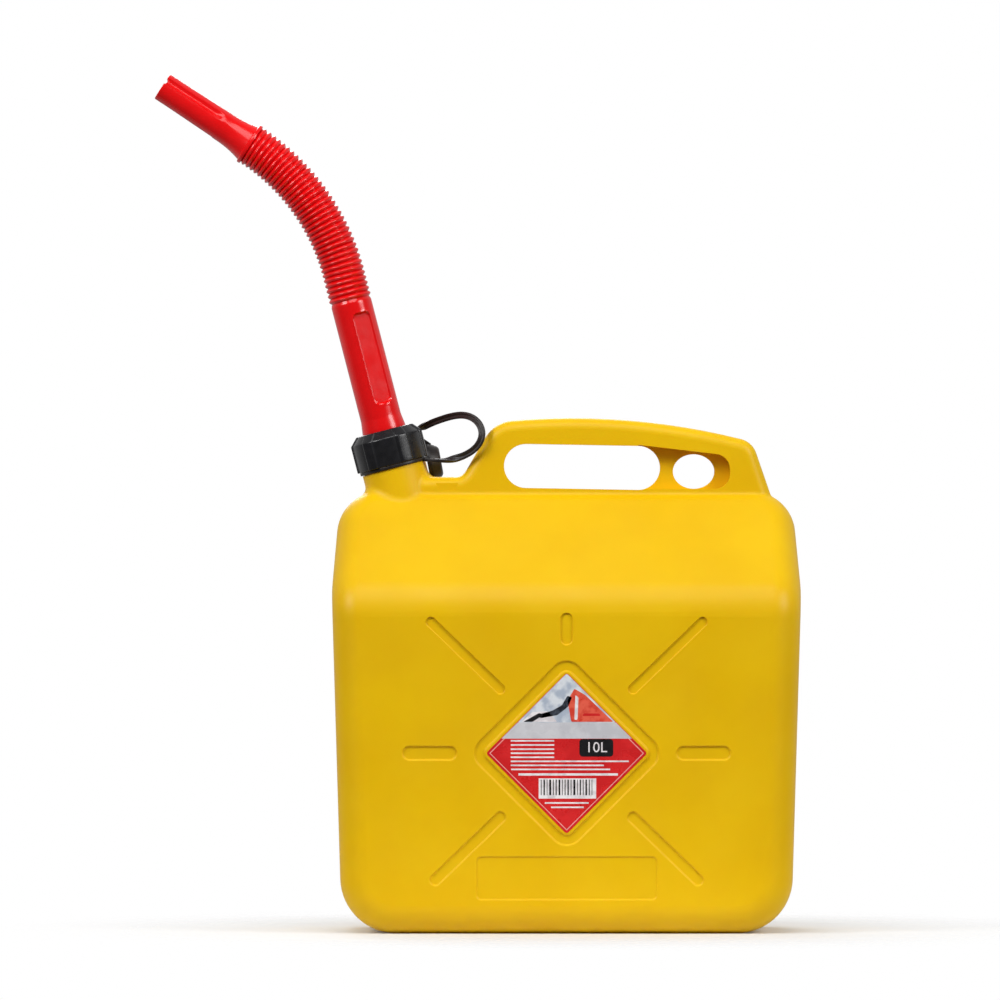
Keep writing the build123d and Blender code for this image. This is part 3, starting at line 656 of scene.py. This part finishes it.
red_ink = printed_film("red_ink_on_film", "#CF1B1E", "#DA2426", 12)
grey_ink = printed_film("grey_ink_on_film", "#C4C4CA", "#D0D0D5", 9)
pale_ink = printed_film("pale_ink_on_film", "#D8D2D6", "#F2EEF0", 5)
pink_ink = printed_film("pink_ink_on_film", "#E99A98", "#F0AAA6", 6)
black_ink = printed_film("black_ink_on_film", "#0E0E10", "#17171A", 6)
dark_ink = printed_film("picture_shadow_on_film", "#23262E", "#3F4652", 3)
sky_ink = printed_film("picture_sky_on_film", "#AEB9C9", "#DDE2E8", 7)
can_ink = printed_film("picture_red_on_film", "#D8402F", "#E8604A", 4)
print("Inks:", sum(material.name.endswith("on_film") for material in bpy.data.materials))

# %% Film
label_low, label_high = (Vector(corner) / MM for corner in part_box("front_label"))
label_middle = (label_low + label_high) / 2
half_diagonal = (label_high.x - label_low.x) / 2
WALL = label_high.y
FILM = 0.16
INK = 0.04
LABEL_ROUNDING = 2.0
CORNER_CUT = 0.83
wall_place = Matrix.Translation((0, WALL * MM, label_middle.z * MM)) @ Matrix.Rotation(pi / 2, 4, "X")


def printed(name, outline, layer, material, radius=0.0):
    """A flat layer on the wall, outlined in mm right and up of the label's middle. Layer 0 is the film."""
    shape = bmesh.new()
    points = rounded(outline, radius) if radius else outline
    base = 0 if layer == 0 else FILM + (layer - 1) * INK
    face = shape.faces.new([shape.verts.new((point[0], point[1], base)) for point in points])
    grown = bmesh.ops.extrude_face_region(shape, geom=[face])["geom"]
    lifted = [item for item in grown if isinstance(item, bmesh.types.BMVert)]
    bmesh.ops.translate(shape, vec=(0, 0, INK if layer else FILM), verts=lifted)
    bmesh.ops.recalc_face_normals(shape, faces=shape.faces)
    piece = finished(shape, name, wall_place, material, crease=30)
    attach(piece, "can")
    return piece


def diamond(inset, low=-100.0, high=100.0):
    """The label's diamond, drawn in by inset and kept between two heights."""
    # The film's rounded corners touch its box, so its sharp ones would lie a little beyond it
    reach = half_diagonal + CORNER_CUT - inset
    corners = ((0, -reach, 0), (reach, 0, 0), (0, reach, 0), (-reach, 0, 0))
    shape = bmesh.new()
    shape.faces.new([shape.verts.new(corner) for corner in corners])
    for height, side in ((low, (0, -1, 0)), (high, (0, 1, 0))):
        geom = [*shape.verts, *shape.edges, *shape.faces]
        bmesh.ops.bisect_plane(shape, geom=geom, plane_co=(0, height, 0), plane_no=side, clear_outer=True)
    face = next(iter(shape.faces))
    points = [(vert.co.x, vert.co.y) for vert in face.verts]
    shape.free()
    return points


def bar(left, right, low, high):
    """A rectangle from its sides."""
    return [(left, low), (right, low), (right, high), (left, high)]


film = printed("label_film", diamond(0), 0, red_ink, radius=LABEL_ROUNDING)
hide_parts("front_label")

# %% Fields of the print
BAND_LOW = 9.4
BAND_HIGH = 19.8
PRINT_INSET = 0.6
BORDER_INSET = 2.2
FIELD_INSET = 3.0
printed("label_picture", diamond(PRINT_INSET, BAND_HIGH), 1, sky_ink, radius=1.2)
printed("label_band", diamond(PRINT_INSET, BAND_LOW, BAND_HIGH), 1, grey_ink)
printed("label_border", diamond(BORDER_INSET, high=BAND_LOW), 1, pink_ink)
# The red field stops a hair short of the band, so that no two side faces coincide
printed("label_field", diamond(FIELD_INSET, high=BAND_LOW - 0.001), 2, red_ink)

# %% Picture: a dark nozzle over a pale scene, and the corner of a red can
NOZZLE_PICTURE = [
    (-17, 22.5), (-6, 24.5), (1, 30), (3.5, 36), (0.5, 37), (-3, 31), (-9, 27.5), (-18, 25),
]
PICTURE = (
    ("picture_ground", 2, pale_ink, [(-29, 20.2), (-6, 20.2), (-12, 27), (-22, 26.5)]),
    ("picture_nozzle", 2, dark_ink, NOZZLE_PICTURE),
    ("picture_can", 2, can_ink, [(3, 20.2), (30, 20.2), (12, 37.5), (5, 41.5), (0.5, 34)]),
    ("picture_can_rib", 3, red_ink, [(10, 24), (22, 24), (21, 25.6), (11, 25.6)]),
    ("picture_can_edge", 3, pale_ink, [(5, 21.5), (7, 21.5), (7.6, 36), (5.6, 37.5)]),
    ("picture_hose", 3, black_ink, [(-28, 20.2), (-22, 20.2), (-15, 24.5), (-17.5, 26)]),
)
for name, layer, ink, points in PICTURE:
    printed(name, points, layer, ink, radius=0.8)

# %% Small print, capacity box and bar code
SMALL_LINES = (
    (-36, -8, 8.0), (-36, -8, 5.3), (-36, -8, 2.6), (-36, -8, 0.0), (-36, -8, -2.6),
    (-36, 40, -5.2), (-36, 24, -7.8), (-36, 28, -10.4), (-14, 15, -32), (-10, 11, -34.8),
)
LINE_HALF_HEIGHT = 0.5
PRINT_MARGIN = 5
for number, (left, right, height) in enumerate(SMALL_LINES, start=1):
    reach = half_diagonal - PRINT_MARGIN - abs(height)
    line = bar(max(left, -reach), min(right, reach), height - LINE_HALF_HEIGHT, height + LINE_HALF_HEIGHT)
    printed(f"small_print_{number}", line, 3, pale_ink)
printed("bold_print", bar(-31, 33, -14.4, -12.9), 3, pale_ink)
CAPACITY_BOX = (8.2, 30, -2.2, 9.2)
printed("capacity_box", bar(*CAPACITY_BOX), 3, black_ink, radius=2.4)
printed("bar_code_ground", bar(-18, 19, -29.2, -16.2), 3, pale_ink)
BAR_WIDTHS = (0.5, 0.9, 0.4, 1.2, 0.5, 0.7, 1.1, 0.4, 0.6, 0.9, 0.5, 1.3, 0.4, 0.8, 0.5, 1.0, 0.6, 0.4)
BAR_GAP = 1.2
left = -16.6
for number, width in enumerate(BAR_WIDTHS, start=1):
    printed(f"bar_code_{number}", bar(left, left + width, -27, -17), 4, black_ink)
    left += width + BAR_GAP

# %% Capacity numbers
text = bpy.data.curves.new("capacity_mark", "FONT")
text.body = "10L"
text.size = 9.5
text.align_x = "CENTER"
text.align_y = "CENTER"
text.extrude = INK / 2
text.resolution_u = 3
text_object = bpy.data.objects.new("capacity_mark_text", text)
text_mesh = bpy.data.meshes.new_from_object(text_object)
bpy.data.objects.remove(text_object)
shape = bmesh.new()
shape.from_mesh(text_mesh)
bmesh.ops.remove_doubles(shape, verts=shape.verts, dist=1e-4)
box_middle = ((CAPACITY_BOX[0] + CAPACITY_BOX[1]) / 2, (CAPACITY_BOX[2] + CAPACITY_BOX[3]) / 2)
bmesh.ops.translate(shape, vec=(*box_middle, FILM + 3.5 * INK), verts=shape.verts)
capacity = finished(shape, "capacity_mark", wall_place, pale_ink, crease=30)
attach(capacity, "can")

# %% [markdown]
# ## CAD pieces that keep their shape
# The can body and the gasket already have their right shape, so they only get their material.

# %% Materials on CAD pieces
for node, material in (("can_body", can_plastic), ("spout_gasket", gasket_rubber)):
    frame["nodes"][node].data.materials[0] = material
    print(node, "wears", material.name)

# %% [markdown]
# ## The studio
# The can stands on a pale floor that fades out into a white surround. Two large soft lights, one at each
# side and a little in front, do most of the work. A weaker one hangs overhead, and one behind keeps the
# back light. The surround is seen white, but it gives light mostly from behind, which keeps some shade on
# the front. The camera stands level and far back, so the can shows almost no perspective.

# %% Floor
FLOOR_RADIUS = 0.7
FADE_START = 0.08
FADE_END = 0.4
floor_shape = bmesh.new()
bmesh.ops.create_circle(floor_shape, cap_ends=True, cap_tris=True, segments=96, radius=FLOOR_RADIUS)
floor_mesh = bpy.data.meshes.new("floor")
floor_shape.to_mesh(floor_mesh)
floor_shape.free()
floor = bpy.data.objects.new("floor", floor_mesh)
bpy.context.collection.objects.link(floor)
material, tree, shader, place = start_material("matt_white_paper", Roughness=0.9)
shader.inputs["Base Color"].default_value = linear("#E6E6E6")
far = add(tree, "ShaderNodeVectorMath", {0: place}, operation="LENGTH").outputs["Value"]
reach = {"Value": far, "From Min": FADE_START, "From Max": FADE_END}
fade = add(tree, "ShaderNodeMapRange", reach, interpolation_type="SMOOTHSTEP")
clear = add(tree, "ShaderNodeBsdfTransparent", {})
both = {0: fade.outputs["Result"], 1: shader.outputs["BSDF"], 2: clear.outputs["BSDF"]}
faded = add(tree, "ShaderNodeMixShader", both)
tree.links.new(faded.outputs["Shader"], tree.nodes["Material Output"].inputs["Surface"])
floor_mesh.materials.append(material)

# %% Lights and surround
def softbox(name, place, aim, size, power):
    """A square area light of a given size that looks at aim."""
    light = bpy.data.lights.new(name, "AREA")
    light.size = size
    light.energy = power
    lamp = bpy.data.objects.new(name, light)
    lamp.location = place
    lamp.rotation_euler = (Vector(aim) - Vector(place)).to_track_quat("-Z", "Y").to_euler()
    bpy.context.collection.objects.link(lamp)


softbox("top_light", (-0.1, -1.3, 2.0), (0, 0, 0.3), 1.3, 19)
softbox("left_key_light", (-1.8, -1.4, 1.6), (0, 0, 0.35), 1.0, 36)
softbox("right_key_light", (1.8, -1.4, 1.5), (0, 0, 0.35), 1.0, 35)
softbox("back_light", (-0.4, 2.2, 1.5), (0, 0, 0.25), 1.2, 22)
world = bpy.data.worlds.new("white_studio")
world.use_nodes = True
room = world.node_tree
sight = add(room, "ShaderNodeTexCoord", {}).outputs["Generated"]
towards = add(room, "ShaderNodeSeparateXYZ", {"Vector": sight})
# The paper behind the can is bright, and the room in front of it is dim
paper = {"Value": towards.outputs["Y"], "From Min": -0.3, "From Max": 0.5, "To Min": 0.12, "To Max": 0.5}
glow = add(room, "ShaderNodeMapRange", paper, interpolation_type="SMOOTHSTEP").outputs["Result"]
seen = add(room, "ShaderNodeLightPath", {}).outputs["Is Camera Ray"]
strength = add(room, "ShaderNodeMath", {0: glow, 1: seen}, operation="MAXIMUM").outputs["Value"]
backdrop = room.nodes["Background"]
backdrop.inputs["Color"].default_value = (1, 1, 1, 1)
room.links.new(strength, backdrop.inputs["Strength"])
bpy.context.scene.world = world
bpy.context.scene.view_settings.view_transform = "Standard"
print("Lights:", len(bpy.data.lights))

# %% Camera
FRAME_WIDTH = 0.650
FRAME_MIDDLE = (-0.0429, 0.2795)
CAMERA_DISTANCE = 8
lens = bpy.data.cameras.new("camera")
lens.sensor_width = 36
lens.lens = lens.sensor_width * CAMERA_DISTANCE / FRAME_WIDTH
camera = bpy.data.objects.new("camera", lens)
camera.location = (FRAME_MIDDLE[0], -CAMERA_DISTANCE, FRAME_MIDDLE[1])
camera.rotation_euler = (pi / 2, 0, 0)
bpy.context.collection.objects.link(camera)
bpy.context.scene.camera = camera
print(f"Camera: {lens.lens:.0f} mm lens, {CAMERA_DISTANCE} m away")
